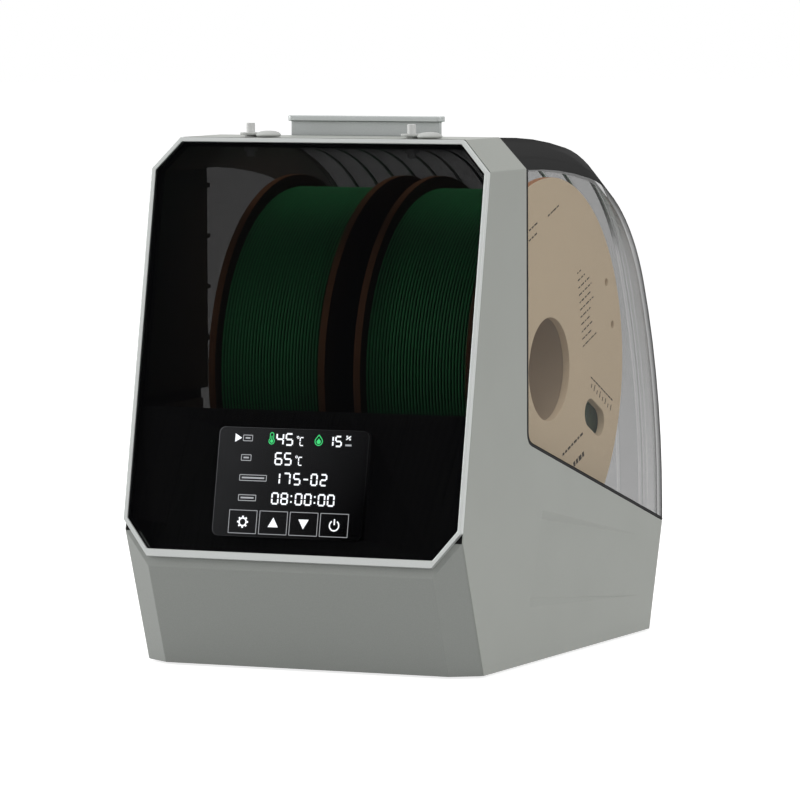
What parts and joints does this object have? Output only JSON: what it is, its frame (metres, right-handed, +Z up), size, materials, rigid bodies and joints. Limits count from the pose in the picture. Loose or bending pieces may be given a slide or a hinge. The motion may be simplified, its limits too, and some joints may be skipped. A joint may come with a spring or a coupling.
{
  "type": "filament dryer box",
  "caption": "Heated drying box for filament spools: tilted tinted front panel with display, smoked hinged hood, roller cradle and top filament outlets.",
  "frame": {"origin": "middle of the box's outline, on the plane its feet stand on", "axes": "+X to the box's right seen from the front, +Y to the rear, +Z up"},
  "size_m": [0.189, 0.2962, 0.2802],
  "materials": {
    "housing_silver": "silver-grey metallic paint",
    "cover_silver": "silver-grey metallic paint",
    "bezel_bright": "bright satin",
    "panel_tint": "tinted gloss",
    "black_plastic": "fine matte",
    "board_green": "satin",
    "heater_metal": "bare",
    "steel": "ground",
    "rubber_black": "matte",
    "silicone_grey": "satin",
    "outlet_white": "satin",
    "hood_smoke": "clear smoked",
    "handle_silver": "satin",
    "kraft_card": "uncoated",
    "filament_green": "silky"
  },
  "bodies": {
    "housing": {"main_housing": "housing_silver", "nose_cover": "cover_silver", "front_bezel": "bezel_bright", "front_panel": "panel_tint", "panel_backing": "black_plastic", "display_module": "black_plastic", "touch_board": "board_green", "hood_seat_frame": "black_plastic", "base_plate": "black_plastic", "feet": "rubber_black", "base_screws": "steel", "chamber_tray": "black_plastic", "air_grille": "black_plastic", "heater_block": "heater_metal", "fan_frame": "black_plastic", "control_board": "board_green", "power_board": "board_green", "power_inlet": "black_plastic", "switch_housing": "black_plastic", "roller_brackets": "black_plastic", "roller_axles": "steel", "humidity_sensor": "black_plastic", "outlet_left": "outlet_white", "outlet_right": "outlet_white", "hinge_base": "housing_silver", "hinge_pins": "steel"},
    "hood": {"hinge_hood": "black_plastic", "hood_shell": "hood_smoke", "hood_seal": "rubber_black", "hood_handle": "handle_silver"},
    "fan": {"fan_rotor": "black_plastic"},
    "rocker": {"switch_rocker": "black_plastic"},
    "cap_left": {"cap_left": "silicone_grey"},
    "spool_left": {"spool_flanges_left": "kraft_card", "spool_core_left": "kraft_card", "filament_left": "filament_green"},
    "roller_front_left": {"roller_front_left": "black_plastic", "bearings_front_left": "steel"},
    "roller_rear_left": {"roller_rear_left": "black_plastic", "bearings_rear_left": "steel"},
    "cap_right": {"cap_right": "silicone_grey"},
    "spool_right": {"spool_flanges_right": "kraft_card", "spool_core_right": "kraft_card", "filament_right": "filament_green"},
    "roller_front_right": {"roller_front_right": "black_plastic", "bearings_front_right": "steel"},
    "roller_rear_right": {"roller_rear_right": "black_plastic", "bearings_rear_right": "steel"}
  },
  "joints": [
    {"name": "hood_hinge", "type": "hinge", "parent": "housing", "child": "hood", "pos_m": [0, 0.14365, 0.0532], "axis": [-1, 0, 0], "range_deg": [0, 85]},
    {"name": "spool_spin_left", "type": "hinge", "parent": "housing", "child": "spool_left", "pos_m": [-0.03765, 0.00635, 0.14721], "axis": [1, 0, 0], "continuous": true},
    {"name": "roller_spin_front_left", "type": "hinge", "parent": "housing", "child": "roller_front_left", "pos_m": [-0.03765, -0.04565, 0.0488], "axis": [1, 0, 0], "continuous": true},
    {"name": "roller_spin_rear_left", "type": "hinge", "parent": "housing", "child": "roller_rear_left", "pos_m": [-0.03765, 0.05835, 0.0488], "axis": [1, 0, 0], "continuous": true},
    {"name": "cap_swivel_left", "type": "hinge", "parent": "housing", "child": "cap_left", "pos_m": [-0.0453, -0.09415, 0.27121], "axis": [0, 0, 1], "range_deg": [-30, 180]},
    {"name": "spool_spin_right", "type": "hinge", "parent": "housing", "child": "spool_right", "pos_m": [0.04485, 0.00635, 0.14721], "axis": [1, 0, 0], "continuous": true},
    {"name": "roller_spin_front_right", "type": "hinge", "parent": "housing", "child": "roller_front_right", "pos_m": [0.04485, -0.04565, 0.0488], "axis": [1, 0, 0], "continuous": true},
    {"name": "roller_spin_rear_right", "type": "hinge", "parent": "housing", "child": "roller_rear_right", "pos_m": [0.04485, 0.05835, 0.0488], "axis": [1, 0, 0], "continuous": true},
    {"name": "cap_swivel_right", "type": "hinge", "parent": "housing", "child": "cap_right", "pos_m": [0.0453, -0.09415, 0.27121], "axis": [0, 0, 1], "range_deg": [-30, 180]},
    {"name": "fan_spin", "type": "hinge", "parent": "housing", "child": "fan", "pos_m": [0, 0.00635, 0.0117], "axis": [0, 0, 1], "continuous": true},
    {"name": "rocker_tilt", "type": "hinge", "parent": "housing", "child": "rocker", "pos_m": [0.026, 0.12445, 0.0156], "axis": [1, 0, 0], "range_deg": [0, 18]}
  ],
  "couplings": [
    {"joint": "roller_spin_front_left", "follows": "spool_spin_left", "ratio": -9.0909},
    {"joint": "roller_spin_rear_left", "follows": "spool_spin_left", "ratio": -9.0909},
    {"joint": "roller_spin_front_right", "follows": "spool_spin_right", "ratio": -9.0909},
    {"joint": "roller_spin_rear_right", "follows": "spool_spin_right", "ratio": -9.0909}
  ]
}
